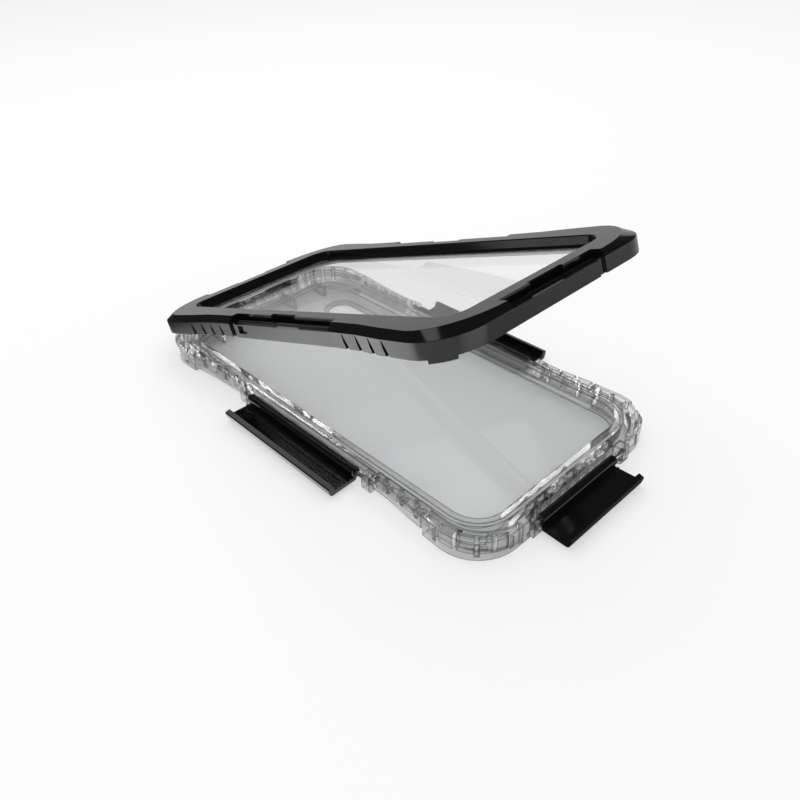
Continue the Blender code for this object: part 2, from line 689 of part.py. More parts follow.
def build_bumper(name, sign_x, sign_y, parts, cutters, material):
    """One corner bumper: an open-topped cushion with ribs and a cross pressed in its skin."""
    far = OUTLINE_HALF_LENGTH + OVERSHOOT * 4
    bumper = flat_solid(name, outer_outline(), 0.0, BUMPER_TOP, parts)
    bumper.data.materials.append(material)
    low, high = -OVERSHOOT, BUMPER_TOP + OVERSHOOT
    xs = sorted((sign_x * BUMPER_END_X, sign_x * far))
    ys = sorted((sign_y * BUMPER_END_Y, sign_y * far))
    zone = boxes(name + "_zone", [((xs[0], ys[0], low), (xs[1], ys[1], high))], cutters)
    combine(bumper, zone, "INTERSECT")
    core = flat_solid(name + "_core", core_outline(CLEARANCE), low, high, cutters)
    combine(bumper, core, "DIFFERENCE")

    xs = sorted((sign_x * (BUMPER_END_X + BUMPER_SKIN), sign_x * far))
    ys = sorted((sign_y * (BUMPER_END_Y + BUMPER_SKIN), sign_y * far))
    wells = boxes(name + "_wells", [((xs[0], ys[0], BUMPER_FLOOR), (xs[1], ys[1], high))], cutters)
    skin = flat_solid(name + "_skin", outer_outline(BUMPER_SKIN), low, high + OVERSHOOT, cutters)
    combine(wells, skin, "INTERSECT")
    inner = flat_solid(name + "_inner", core_outline(CLEARANCE + BUMPER_INNER_SKIN),
                       low, high + OVERSHOOT, cutters)
    combine(wells, inner, "DIFFERENCE")
    turn = Vector((sign_x * (OUTLINE_HALF_WIDTH + OUTLINE_FLARE - OUTLINE_CORNER_RADIUS),
                   sign_y * (OUTLINE_HALF_LENGTH - OUTLINE_CORNER_RADIUS), 0.0))
    ribs = []
    for angle in BUMPER_RIB_ANGLES:
        place = corner_place(turn, angle, sign_x, sign_y)
        span = ((OUTLINE_CORNER_RADIUS / 3, -BUMPER_RIB / 2, 0.0),
                (OUTLINE_CORNER_RADIUS + OVERSHOOT, BUMPER_RIB / 2, high + OVERSHOOT))
        ribs.append(boxes("rib", [span], cutters, place))
    combine(wells, merge_objects(name + "_ribs", ribs), "DIFFERENCE")
    combine(bumper, wells, "DIFFERENCE")

    if sign_y < 0:
        foot = LID_TOP - SKIRT_DEPTH - TAB_DROP - CLEARANCE
        notch = tab_box(name + "_notch", sign_x, CLEARANCE, foot, cutters)
        combine(bumper, notch, "DIFFERENCE")
    face = OUTLINE_CORNER_RADIUS - CROSS_DEPTH
    upright = ((face, -CROSS_BAR / 2, BUMPER_FLOOR),
               (face + OVERSHOOT, CROSS_BAR / 2, BUMPER_TOP - CROSS_BAR))
    slots = [boxes("slot", [upright], cutters, corner_place(turn, angle, sign_x, sign_y))
             for angle in SLOT_ANGLES]
    combine(bumper, merge_objects(name + "_slots", slots), "DIFFERENCE")
    height = BUMPER_TOP / 2 + CROSS_BAR / 2
    level = ((face, -CROSS_LENGTH / 2, height),
             (face + OVERSHOOT, CROSS_LENGTH / 2, height + CROSS_BAR))
    place = corner_place(turn, CROSS_ANGLE, sign_x, sign_y)
    combine(bumper, boxes(name + "_cross", [level], cutters, place), "DIFFERENCE")
    return bumper


def leaning_face(height):
    """How far outward of its pin the latch's inner face lies, at a height above the pin."""
    share = (height - ROOT_HEIGHT) / (LIP_LOW - ROOT_HEIGHT)
    return ROOT_REACH + (LATCH_FACE - ROOT_REACH) * share


def latch_profile():
    """A latch seen along its pin: barrel, heel, leaning plate with a seam ridge, and lip."""
    groove = math.degrees(math.acos(ROOT_REACH / BARREL_RADIUS))
    ridge_high = ROOT_HEIGHT + SEAM_RIDGE_WIDTH
    ridge_foot = ridge_high + SEAM_RIDGE_DRAFT
    lip_end = LATCH_FACE - LIP_REACH
    plate = [(TOP_REACH - LIP_CHAMFER, LIP_HIGH), (TOP_REACH, LIP_HIGH - LIP_CHAMFER),
             (HEEL_REACH, HEEL_HEIGHT), (HEEL_REACH - HEEL_ROUND, HEEL_HEIGHT - HEEL_ROUND)]
    barrel = arc(BARREL_RADIUS, -HEEL_ANGLE, groove - 360.0, BARREL_STEPS)
    ridge = [(ROOT_REACH, ROOT_HEIGHT),
             (ROOT_REACH - SEAM_RIDGE_RISE, ROOT_HEIGHT + SEAM_RIDGE_DRAFT),
             (leaning_face(ridge_high) - SEAM_RIDGE_RISE, ridge_high),
             (leaning_face(ridge_foot), ridge_foot)]
    lip = [(LATCH_FACE, LIP_LOW), (lip_end, LIP_LOW), (lip_end, LIP_HIGH - LIP_CHAMFER / 2),
           (lip_end + LIP_CHAMFER / 2, LIP_HIGH)]
    return plate + barrel + ridge + lip


def build_latch(name, length, key, parts, cutters, material):
    """A latch about its own pin, shut: length on X, outwards +Y, plate up +Z.

    key is the low end, along the length, of the block on its inner face, and None
    leaves the inner face plain.
    """
    half = length / 2
    latch = flat_solid(name, latch_profile(), -half, half, parts, along_x(0.0, 0.0))
    latch.data.materials.append(material)
    hole = rods(name + "_hole", [((-half - OVERSHOOT, 0, 0), (half + OVERSHOOT, 0, 0))],
                PIN_HOLE_RADIUS, PIN_SIDES, cutters)
    combine(latch, hole, "DIFFERENCE")
    if key is not None:
        rise, run = LIP_LOW - ROOT_HEIGHT, ROOT_REACH - LATCH_FACE
        lean = Matrix.Rotation(math.atan2(run, rise), 4, "X")
        place = Matrix.Translation((0.0, ROOT_REACH, ROOT_HEIGHT)) @ lean
        inset = half - PANEL_MARGIN
        panel_end = math.hypot(rise, run) - PANEL_STOP
        panel = ((-inset, -OVERSHOOT, PANEL_START), (inset, PANEL_DEPTH, panel_end))
        combine(latch, boxes(name + "_panel", [panel], cutters, place), "DIFFERENCE")
        block = ((key, -KEY_RISE, KEY_START),
                 (key + KEY_LENGTH, PANEL_DEPTH + BITE, KEY_START + KEY_WIDTH))
        combine(latch, boxes(name + "_key", [block], cutters, place), "UNION")
    settle(latch)
    return latch


def lid_outline(inset_side=0.0, inset_end=0.0, radius_x=LID_CORNER_RADIUS, radius_y=LID_CORNER_RADIUS):
    """The lid's outer outline, moved inwards."""
    return rounded_outline(LID_HALF_WIDTH - inset_side, LID_HALF_LENGTH - inset_end,
                           radius_x, radius_y, LID_FLARE)


def opening_outline(side, end):
    """The window opening's outline, moved outwards at its sides and ends."""
    radius = OPENING_RADIUS + (side + end) / 2
    return rounded_outline(OPENING_WIDTH / 2 + side, OPENING_LENGTH / 2 + end,
                           radius, radius, shift=OPENING_SHIFT)


def seal_outline(offset):
    """An outline about the middle of the tray's sealing rim."""
    return inner_outline(RIM_WIDTH / 2 + offset)


def lid_rings():
    """The lid frame's section, ring by ring, from the window opening round to the rebate."""
    groove = SEAL_WIDTH / 2 + CLEARANCE
    wall = groove + GROOVE_WALL
    side_rebate = WINDOW_SIDE_MARGIN + CLEARANCE
    end_rebate = WINDOW_END_MARGIN + CLEARANCE
    ledge = LEDGE_WIDTH + INNER_WALL_DRAFT
    section = [
        (opening_outline(0.0, 0.0), EDGE_BREAK),
        (opening_outline(EDGE_BREAK, EDGE_BREAK), 0.0),
        (lid_outline(LID_CHAMFER_SIDE, LID_CHAMFER_END, LID_TOP_CORNER_X, LID_TOP_CORNER_Y), 0.0),
        (lid_outline(), LID_CHAMFER_HEIGHT),
        (lid_outline(), SKIRT_DEPTH + TAB_DROP),
        (lid_outline(SKIRT_THICKNESS, SKIRT_THICKNESS, LID_CORNER_RADIUS - SKIRT_THICKNESS,
                     LID_CORNER_RADIUS - SKIRT_THICKNESS), SKIRT_DEPTH + TAB_DROP),
        (lid_outline(SKIRT_THICKNESS, SKIRT_THICKNESS, LID_CORNER_RADIUS - SKIRT_THICKNESS,
                     LID_CORNER_RADIUS - SKIRT_THICKNESS), CHANNEL_CEILING),
        (seal_outline(wall), CHANNEL_CEILING),
        (seal_outline(wall), GROOVE_DEPTH),
        (seal_outline(groove), GROOVE_DEPTH),
        (seal_outline(groove), GROOVE_CEILING),
        (seal_outline(-groove), GROOVE_CEILING),
        (seal_outline(-groove), GROOVE_DEPTH),
        (seal_outline(-wall), GROOVE_DEPTH),
        (seal_outline(-wall), REBATE_DEPTH),
        (opening_outline(side_rebate, end_rebate), REBATE_DEPTH),
        (opening_outline(side_rebate, end_rebate), LIP_UNDERSIDE),
        (opening_outline(-ledge, -ledge), LIP_UNDERSIDE),
        (opening_outline(-ledge, -ledge), LEDGE_DEPTH),
        (opening_outline(-INNER_WALL_DRAFT, -INNER_WALL_DRAFT), INNER_WALL_DEPTH),
    ]
    return [at_height(outline, LID_TOP - depth) for outline, depth in section]


def seat_cutters(cutters):
    """The latch seats: a pocket, a ridge and an open ledge cut along each side of the lid."""
    edge = OVERSHOOT * 3
    profile = [(-SEAT_WIDTH, OVERSHOOT), (-SEAT_WIDTH, -SEAT_POCKET), (-RIDGE_INNER, -SEAT_POCKET),
               (-RIDGE_INNER, -RIDGE_TOP), (-RIDGE_OUTER, -RIDGE_TOP),
               (-RIDGE_OUTER, -SEAT_LEDGE), (edge, -SEAT_LEDGE), (edge, OVERSHOOT)]
    finger = [(-SEAT_WIDTH - FINGER_NOTCH_WIDTH, OVERSHOOT),
              (-SEAT_WIDTH - FINGER_NOTCH_WIDTH, -SEAT_POCKET),
              (-SEAT_WIDTH + BITE, -SEAT_POCKET), (-SEAT_WIDTH + BITE, OVERSHOOT)]
    side_half = SIDE_LATCH_LENGTH / 2 + SEAT_PLAY
    end_half = END_LATCH_LENGTH / 2 + SEAT_PLAY
    places = ((along_y(LID_HALF_WIDTH, LID_TOP), SIDE_LATCH_CENTRE, side_half),
              (along_y(-LID_HALF_WIDTH, LID_TOP, True), SIDE_LATCH_CENTRE, side_half),
              (along_x(-LID_HALF_LENGTH, LID_TOP, True), END_LATCH_CENTRE, end_half),
              (along_x(LID_HALF_LENGTH, LID_TOP), 0.0, HINGE_SEAT_HALF))
    notch_half = FINGER_NOTCH_LENGTH / 2
    seats, notches = [], []
    for place, centre, half in places:
        seats.append(flat_solid("seat", profile, centre - half, centre + half, cutters, place))
        notches.append(flat_solid("notch", finger, centre - notch_half, centre + notch_half,
                                  cutters, place))
    return merge_objects("latch_seats", seats), merge_objects("finger_notches", notches)


def wall_notches(cutters):
    """An upright notch through the lid's wall at one end of each visible latch seat."""
    corners = []
    low, high = LID_TOP - SKIRT_DEPTH - OVERSHOOT, LID_TOP + OVERSHOOT
    start = SIDE_LATCH_CENTRE + SIDE_LATCH_LENGTH / 2 + SEAT_PLAY - WALL_NOTCH_WIDTH
    for sign in (-1, 1):
        xs = sorted((sign * (LID_HALF_WIDTH - WALL_NOTCH_DEPTH), sign * (LID_HALF_WIDTH + OVERSHOOT)))
        corners.append(((xs[0], start, low), (xs[1], start + WALL_NOTCH_WIDTH, high)))
    start = END_LATCH_CENTRE + END_LATCH_LENGTH / 2 + SEAT_PLAY - WALL_NOTCH_WIDTH
    face = -LID_HALF_LENGTH + WALL_NOTCH_DEPTH
    corners.append(((start, face - OVERSHOOT * 2, low), (start + WALL_NOTCH_WIDTH, face, high)))
    return boxes("wall_notches", corners, cutters)


def key_pockets(cutters):
    """Shallow pockets in the lid's long walls that the blocks on the side latches enter."""
    low, high = PIVOT_HEIGHT + KEY_POCKET_LOW, PIVOT_HEIGHT + KEY_POCKET_HIGH
    stop = SIDE_LATCH_CENTRE + SIDE_LATCH_LENGTH / 2 - KEY_FROM_END + CLEARANCE
    start = stop - KEY_LENGTH - 2 * CLEARANCE
    corners = []
    for sign in (-1, 1):
        xs = sorted((sign * (LID_HALF_WIDTH - KEY_POCKET_DEPTH), sign * (LID_HALF_WIDTH + OVERSHOOT)))
        corners.append(((xs[0], start, low), (xs[1], stop, high)))
    return boxes("key_pockets", corners, cutters)


def grip_grooves(cutters):
    """Slanted leaf-shaped grooves down the lid's long walls, open at the skirt's foot."""
    low = LID_TOP - SKIRT_DEPTH - BITE
    high = LID_TOP - LID_CHAMFER_HEIGHT - BITE
    pieces = []
    for starts in grip_positions():
        for y in starts:
            belly = y - GROOVE_SLANT / 2
            foot = y - GROOVE_SLANT
            outline = [(y - GROOVE_TIP_WIDTH / 2, high), (y + GROOVE_TIP_WIDTH / 2, high),
                       (belly + GROOVE_WIDTH / 2, (high + low) / 2), (foot + GROOVE_WIDTH / 2, low),
                       (foot - GROOVE_WIDTH / 2, low), (belly - GROOVE_WIDTH / 3, (high + low) / 2)]
            for sign in (-1, 1):
                face = lid_side_at(y) - GRIP_GROOVE_DEPTH
                xs = sorted((sign * face, sign * (face + OVERSHOOT * 2)))
                place = Matrix(((0, 0, 1, 0), (1, 0, 0, 0), (0, 1, 0, 0), (0, 0, 0, 1)))
                pieces.append(flat_solid("groove", outline, xs[0], xs[1], cutters, place))
    return merge_objects("grip_grooves", pieces)


def lid_side_at(y):
    """Half the lid's width at a place along Y."""
    share = min(max((abs(y) - FLARE_FROM) / (FLARE_TO - FLARE_FROM), 0.0), 1.0)
    return LID_HALF_WIDTH + LID_FLARE * share * share * (3.0 - 2.0 * share)


def tab_box(name, sign_x, margin, low, cutters):
    """A box across the free end's corner arc, where the lid's tab dips into the bumper."""
    turn = Vector((sign_x * (LID_HALF_WIDTH + LID_FLARE - LID_CORNER_RADIUS),
                   -(LID_HALF_LENGTH - LID_CORNER_RADIUS), 0.0))
    place = corner_place(turn, TAB_ANGLE, sign_x, -1)
    half = TAB_LENGTH / 2 + margin
    inner = LID_CORNER_RADIUS - OVERSHOOT * 2 - margin
    outer = LID_CORNER_RADIUS + OVERSHOOT * 2
    span = ((inner, -half, low), (outer, half, LID_TOP - CHANNEL_CEILING))
    return boxes(name, [span], cutters, place)


def skirt_trim(cutters):
    """What is cut off the skirt's foot so that only the tabs at the free corners reach down."""
    low = LID_TOP - SKIRT_DEPTH - TAB_DROP - OVERSHOOT
    high = LID_TOP - SKIRT_DEPTH
    outer = lid_outline(-OVERSHOOT, -OVERSHOOT, LID_CORNER_RADIUS + OVERSHOOT,
                        LID_CORNER_RADIUS + OVERSHOOT)
    inset = SKIRT_THICKNESS + BITE
    inner = lid_outline(inset, inset, LID_CORNER_RADIUS - inset, LID_CORNER_RADIUS - inset)
    rings = [at_height(inner, low), at_height(outer, low), at_height(outer, high),
             at_height(inner, high)]
    trim = ring_skin("skirt_trim", rings, cutters)
    pair = [tab_box("tab_box", sign, 0.0, low - OVERSHOOT, cutters) for sign in (-1, 1)]
    combine(trim, merge_objects("tab_boxes", pair), "DIFFERENCE")
    return trim


def hinge_leaf(cutters):
    """The lid's knuckles and the web that joins them to its end wall."""
    inner_face = -LID_SET_IN - BITE
    outer_face = CLEARANCE - LID_SET_IN + LEAF_THICKNESS
    top = LID_TOP - SEAT_LEDGE - CLEARANCE - PIVOT_HEIGHT
    outer_start = math.degrees(math.acos(outer_face / BARREL_RADIUS))
    inner_stop = math.degrees(math.acos(inner_face / BARREL_RADIUS))
    barrel = arc(BARREL_RADIUS, outer_start, inner_stop - 360.0, BARREL_STEPS)
    profile = [(outer_face, top - LIP_CHAMFER), *barrel, (inner_face, top),
               (outer_face - LIP_CHAMFER, top)]
    start = HINGE_MIDDLE_EAR / 2 + KNUCKLE_PLAY
    end = END_GAP_HALF - EAR_WIDTH - KNUCKLE_PLAY
    place = along_x(END_PIVOT, PIVOT_HEIGHT)
    knuckles = [flat_solid("knuckle", profile, start, end, cutters, place),
                flat_solid("knuckle", profile, -end, -start, cutters, place)]
    return merge_objects("hinge_knuckles", knuckles)


def build_lid_frame(parts, cutters, material):
    """The lid's black frame, shut."""
    frame = ring_skin("lid_frame", lid_rings(), parts)
    frame.data.materials.append(material)
    seats, notches = seat_cutters(cutters)
    combine(frame, skirt_trim(cutters), "DIFFERENCE")
    combine(frame, seats, "DIFFERENCE")
    combine(frame, notches, "DIFFERENCE")
    combine(frame, wall_notches(cutters), "DIFFERENCE")
    combine(frame, key_pockets(cutters), "DIFFERENCE")
    combine(frame, grip_grooves(cutters), "DIFFERENCE")
    combine(frame, hinge_leaf(cutters), "UNION")
    end = END_GAP_HALF
    hole = rods("knuckle_holes", [((-end, END_PIVOT, PIVOT_HEIGHT), (end, END_PIVOT, PIVOT_HEIGHT))],
                PIN_HOLE_RADIUS, PIN_SIDES, cutters)
    combine(frame, hole, "DIFFERENCE")
    settle(frame)
    return frame


def build_lid_window(parts, material):
    """The clear membrane under the frame's inner lip."""
    outline = opening_outline(WINDOW_SIDE_MARGIN, WINDOW_END_MARGIN)
    high = LID_TOP - LIP_UNDERSIDE - CLEARANCE
    window = flat_solid("lid_window", outline, WINDOW_LOW, high, parts)
    window.data.materials.append(material)
    return window


def build_seal(parts, material):
    """The silicone seal in the lid's groove, with a bead that meets the tray's rim."""
    half = SEAL_WIDTH / 2
    high = LID_TOP - SEAL_TOP
    low = RIM_HEIGHT + CLEARANCE
    bead = half / 2
    rings = [at_height(seal_outline(-half), high), at_height(seal_outline(half), high),
             at_height(seal_outline(half), low + bead), at_height(seal_outline(bead), low),
             at_height(seal_outline(-bead), low), at_height(seal_outline(-half), low + bead)]
    seal = ring_skin("lid_seal", rings, parts)
    seal.data.materials.append(material)
    return seal


def build_pin(name, start, end, parts, material):
    """A plain steel pin with its origin at its middle."""
    middle = (Vector(start) + Vector(end)) / 2
    half = Vector(end) - middle
    pin = rods(name, [(-half, half)], PIN_RADIUS, PIN_SIDES, parts)
    pin.location = middle
    pin.data.materials.append(material)
    smooth(pin)
    return pin


def hang(items, name, pivot, turn, collection):
    """Hangs pieces modelled about their joint on an empty that lies on its axis."""
    empty = bpy.data.objects.new(name, None)
    collection.objects.link(empty)
    empty.location = pivot
    empty.rotation_euler = turn
    for item in items:
        item.parent = empty


def build_lid(parts, cutters, black, clear, silicone):
    """The lid, modelled shut and turned open about the hinge pin."""
    pieces = [build_lid_frame(parts, cutters, black), build_lid_window(parts, clear),
              build_seal(parts, silicone)]
    pivot = Vector((0.0, END_PIVOT, PIVOT_HEIGHT))
    for item in pieces:
        item.data.transform(Matrix.Translation(-pivot))
        smooth(item)
    hang(pieces, "lid_hinge", pivot, (-math.radians(LID_OPEN_ANGLE), 0.0, 0.0), parts)


def build_latches(parts, cutters, black):
    """The three latches, modelled shut and turned open about their pins."""
    side_key = SIDE_LATCH_LENGTH / 2 - KEY_FROM_END - KEY_LENGTH
    settings = (("latch_left", SIDE_LATCH_LENGTH, side_key, (-SIDE_PIVOT, SIDE_LATCH_CENTRE), 90.0),
                ("latch_right", SIDE_LATCH_LENGTH, -side_key - KEY_LENGTH,
                 (SIDE_PIVOT, SIDE_LATCH_CENTRE), -90.0),
                ("latch_end", END_LATCH_LENGTH, None, (END_LATCH_CENTRE, -END_PIVOT), 180.0))
    for name, length, key, (x, y), heading in settings:
        latch = build_latch(name, length, key, parts, cutters, black)
        smooth(latch)
        turn = (-math.radians(LATCH_OPEN_ANGLE), 0.0, math.radians(heading))
        hang([latch], name + "_pivot", (x, y, PIVOT_HEIGHT), turn, parts)


def main():
    """Builds the whole case."""
    for item in list(bpy.data.objects):
        bpy.data.objects.remove(item)
    parts = make_collection("waterproof_phone_case")
    cutters = make_collection("cutters")
    black = make_material("black_plastic", (0.012, 0.012, 0.013), 0.18)
    tray_clear = make_material("clear_polycarbonate", (0.9, 0.92, 0.93), 0.06, 0.0, 0.35, 0.8)
    bumper_clear = make_material("clear_soft_plastic", (0.85, 0.87, 0.88), 0.12, 0.0, 0.4, 0.7)
    film = make_material("window_film", (0.95, 0.96, 0.97), 0.05, 0.0, 0.25, 0.9)
    silicone = make_material("seal_silicone", (0.75, 0.77, 0.78), 0.5)
    steel = make_material("pin_steel", (0.7, 0.7, 0.72), 0.2, 1.0)

    build_tray(parts, cutters, tray_clear)
    build_camera_window(parts, film)
    for name, sign_x, sign_y in (("bumper_free_left", -1, -1), ("bumper_free_right", 1, -1),
                                 ("bumper_hinge_left", -1, 1), ("bumper_hinge_right", 1, 1)):
        build_bumper(name, sign_x, sign_y, parts, cutters, bumper_clear)
    pin_names = ("pin_left", "pin_right", "pin_end", "hinge_pin")
    for name, (start, end) in zip(pin_names, pin_lines(PIN_SETBACK)):
        build_pin(name, start, end, parts, steel)
    build_latches(parts, cutters, black)
    build_lid(parts, cutters, black, film, silicone)


main()
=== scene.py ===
"""Looks for the waterproof phone case: clear tray and bumpers, black lid and latches."""

import json
import math

import bpy
from mathutils import Matrix, Vector

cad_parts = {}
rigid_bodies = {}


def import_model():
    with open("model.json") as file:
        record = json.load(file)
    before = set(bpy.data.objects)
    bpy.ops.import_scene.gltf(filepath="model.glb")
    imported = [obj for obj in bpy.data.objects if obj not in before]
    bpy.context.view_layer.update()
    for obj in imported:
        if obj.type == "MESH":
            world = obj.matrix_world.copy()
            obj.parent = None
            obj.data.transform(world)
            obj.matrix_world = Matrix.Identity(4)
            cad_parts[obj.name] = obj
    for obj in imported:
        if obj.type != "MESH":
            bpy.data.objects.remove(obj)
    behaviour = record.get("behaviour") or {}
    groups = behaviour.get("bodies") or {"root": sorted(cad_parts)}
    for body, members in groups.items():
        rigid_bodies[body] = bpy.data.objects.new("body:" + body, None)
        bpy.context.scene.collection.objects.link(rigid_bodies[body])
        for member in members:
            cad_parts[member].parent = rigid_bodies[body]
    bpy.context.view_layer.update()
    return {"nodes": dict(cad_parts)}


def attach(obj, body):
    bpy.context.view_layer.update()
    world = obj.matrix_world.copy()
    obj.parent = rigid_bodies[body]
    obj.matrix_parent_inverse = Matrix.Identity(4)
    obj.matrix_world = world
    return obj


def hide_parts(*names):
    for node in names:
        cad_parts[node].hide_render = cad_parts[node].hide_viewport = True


bl_info = {
    "name": "Waterproof Phone Case",
    "version": (1, 0, 0),
    "blender": (4, 5, 0),
    "location": "View3D > Sidebar > Phone Case",
    "description": "Dresses the waterproof phone case and sets its studio",
    "category": "Object",
}

MM = 0.001
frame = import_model()

BUMPERS = ("bumper_free_left", "bumper_free_right", "bumper_hinge_left", "bumper_hinge_right")
LATCHES = ("latch_left", "latch_right", "latch_end")
PINS = ("pin_left", "pin_right", "pin_end", "hinge_pin")

# Mouldings: what counts as one point, what shades as one face, where edges are rounded, and how
# far the clear plastic's painted edge shade reaches.
MERGE_DISTANCE = 0.01 * MM
FLAT_ANGLE = math.radians(0.5)
SMOOTH_ANGLE = math.radians(26.0)
CLEAR_EDGE_ANGLE = math.radians(25.0)
LATCH_EDGE_ANGLE = math.radians(20.0)
LID_EDGE_ANGLE = math.radians(18.0)
EDGE_SEGMENTS = 3
# How far from an edge the clear plastic's painted shade reaches.
PAINTED_EDGE_SHADE_REACH = 0.9 * MM

# The free end latch, from its pin to its leaning plate, and the bar on the plate.
END_PIN_PLACE = (-1.2 * MM, -84.6 * MM, 4.3 * MM)
LATCH_HANG = math.radians(-105.0)
PLATE_FOOT = (0.0, 1.45 * MM, 2.3 * MM)
PLATE_LEAN = math.atan2(1.85, 6.55)
BAR_PLACE = (0.0, -0.075 * MM, 6.275 * MM)
BAR_SIZE = (11.4 * MM, 0.55 * MM, 0.45 * MM)
BAR_EDGE = 0.06 * MM
BAR_SEGMENTS = 2

# The studio: directions of its cards, places on the table, lamps and camera.
BACKDROP_DIRECTION = (0.87, -0.5, 0.0)
FRONT_CARD_DIRECTION = (0.26, -0.97, 0.0)
TOP_CARD_DIRECTION = (0.02, 0.67, 0.74)
UPWARD = (0.0, 0.0, 1.0)
FLOOR_SIZE = 8.0
FLOOR_DROP = 0.02 * MM
# Places on the floor of its painted glow and its painted shade, seen in glossy faces.
GLOW_PLACE = (-0.11, 0.02, 0.0)
SHADE_PLACE = (-0.02, -0.12, 0.0)
KEY_PLACE = (0.15, 0.35, 0.75)
KEY_SIZE = (0.9, 0.6)
GLINT_PLACE = (-0.45, -0.1, 0.5)
GLINT_SIZE = (0.08, 0.5)
CAMERA_PLACE = (-150.62 * MM, -171.09 * MM, 161.39 * MM)
CAMERA_RIGHT = (0.72074, -0.69238, -0.03377)
CAMERA_UP = (0.43097, 0.40940, 0.80415)
CAMERA_FORWARD = (0.54295, 0.59414, -0.59346)
CAMERA_SENSOR = 36.0
CAMERA_NEAREST = 10 * MM


class CaseColours(bpy.types.PropertyGroup):
    """Colours of the case's plastics and metal."""

    black: bpy.props.FloatVectorProperty(
        name="Black plastic", description="Colour of the lid frame and the latches",
        subtype="COLOR", size=3, min=0.0, max=1.0, default=(0.0035, 0.0035, 0.004))
    clear: bpy.props.FloatVectorProperty(
        name="Clear tray", description="Tint of the hard tray",
        subtype="COLOR", size=3, min=0.0, max=1.0, default=(0.85, 0.855, 0.86))
    bumper: bpy.props.FloatVectorProperty(
        name="Clear bumpers", description="Tint of the softer corner bumpers",
        subtype="COLOR", size=3, min=0.0, max=1.0, default=(0.95, 0.955, 0.96))
    film: bpy.props.FloatVectorProperty(
        name="Window", description="Tint of the lid's window and the camera window",
        subtype="COLOR", size=3, min=0.0, max=1.0, default=(0.99, 0.992, 0.995))
    silicone: bpy.props.FloatVectorProperty(
        name="Seal", description="Colour of the lid's seal",
        subtype="COLOR", size=3, min=0.0, max=1.0, default=(0.78, 0.79, 0.8))
    steel: bpy.props.FloatVectorProperty(
        name="Pins", description="Colour of the steel pins",
        subtype="COLOR", size=3, min=0.0, max=1.0, default=(0.72, 0.72, 0.74))


class CaseEdges(bpy.types.PropertyGroup):
    """How far each moulding's edges are rounded."""

    lid: bpy.props.FloatProperty(
        name="Lid edges", description="Rounding of the lid frame's edges",
        unit="LENGTH", min=0.0, default=0.1 * MM)
    latch: bpy.props.FloatProperty(
        name="Latch edges", description="Rounding of the latches' edges",
        unit="LENGTH", min=0.0, default=0.09 * MM)
    tray: bpy.props.FloatProperty(
        name="Tray edges", description="Rounding of the tray's edges",
        unit="LENGTH", min=0.0, default=0.07 * MM)
    bumper: bpy.props.FloatProperty(
        name="Bumper edges", description="Rounding of the corner bumpers' edges",
        unit="LENGTH", min=0.0, default=0.18 * MM)


class StudioSettings(bpy.types.PropertyGroup):
    """Light, floor and camera."""

    floor: bpy.props.FloatVectorProperty(
        name="Floor", description="Colour of the floor",
        subtype="COLOR", size=3, min=0.0, max=1.0, default=(0.96, 0.96, 0.96))
    sky: bpy.props.FloatProperty(
        name="Sky", description="Strength of the even light from all round", min=0.0, default=0.8)
    backdrop: bpy.props.FloatProperty(
        name="Backdrop", description="What glossy faces see low down behind and on the right",
        min=0.0, default=0.58)
    front_card: bpy.props.FloatProperty(
        name="Front card", description="What a card in front on the right adds to that",
        min=0.0, default=1.0)
    top_card: bpy.props.FloatProperty(
        name="Top card", description="What glossy faces see in a card high up behind",
        min=0.0, default=1.3)
    overhead: bpy.props.FloatProperty(
        name="Overhead", description="What is seen high up through the clear plastic",
        min=0.0, default=0.12)
    dark: bpy.props.FloatProperty(
        name="Dark", description="What glossy faces see of the dark rest of the studio",
        min=0.0, default=0.05)
    table_left: bpy.props.FloatProperty(
        name="Table left", description="What glossy faces see in the floor on the left",
        min=0.0, default=1.0)
    table_right: bpy.props.FloatProperty(
        name="Table right", description="What glossy faces see in the floor on the right",
        min=0.0, default=0.58)
    # Painted light: the table glow is a glowing patch of the floor by the near side, seen only in
    # glossy faces.
    table_glow: bpy.props.FloatProperty(
        name="Table glow", description="What a card by the near side adds to that",
        min=0.0, default=1.4)
    wash: bpy.props.FloatProperty(
        name="Wash", description="How far the floor is washed out to white where it is seen",
        subtype="FACTOR", min=0.0, max=1.0, default=0.5)
    key: bpy.props.FloatProperty(
        name="Key", description="Power of the large soft lamp", unit="POWER", min=0.0, default=2.0)
    glint: bpy.props.FloatProperty(
        name="Glint", description="Power of the narrow lamp that lights the edges",
        unit="POWER", min=0.0, default=0.06)
    lens: bpy.props.FloatProperty(
        name="Lens", description="Focal length of the camera", unit="CAMERA", default=34.04)


def add_node(tree, kind, spot):
    """A node of a kind in a material's tree, at a spot in the node editor."""
    node = tree.nodes.new(kind)
    node.location = spot
    return node


def feed(tree, socket, value):
    """Links a socket to an input, or sets the input to a number."""
    if isinstance(value, bpy.types.NodeSocket):
        tree.links.new(value, socket)
    else:
        socket.default_value = value


def new_material(name):
    """An empty material with its shader, tree and Object coordinates."""
    material = bpy.data.materials.new(name)
    material.use_nodes = True
    tree = material.node_tree
    shader = tree.nodes["Principled BSDF"]
    coordinates = add_node(tree, "ShaderNodeTexCoord", (-1200, 0))
    return material, tree, shader, coordinates.outputs["Object"]


def compute(tree, operation, first, second, spot):
    """A maths node on two values or sockets."""
    node = add_node(tree, "ShaderNodeMath", spot)
    node.operation = operation
    feed(tree, node.inputs[0], first)
    feed(tree, node.inputs[1], second)
    return node.outputs["Value"]


def blended(tree, factor, first, second, spot):
    """The first value where the factor is 0 and the second where it is 1."""
    node = add_node(tree, "ShaderNodeMix", spot)
    node.data_type = "FLOAT"
    feed(tree, node.inputs["Factor"], factor)
    feed(tree, node.inputs["A"], first)
    feed(tree, node.inputs["B"], second)
    return node.outputs["Result"]


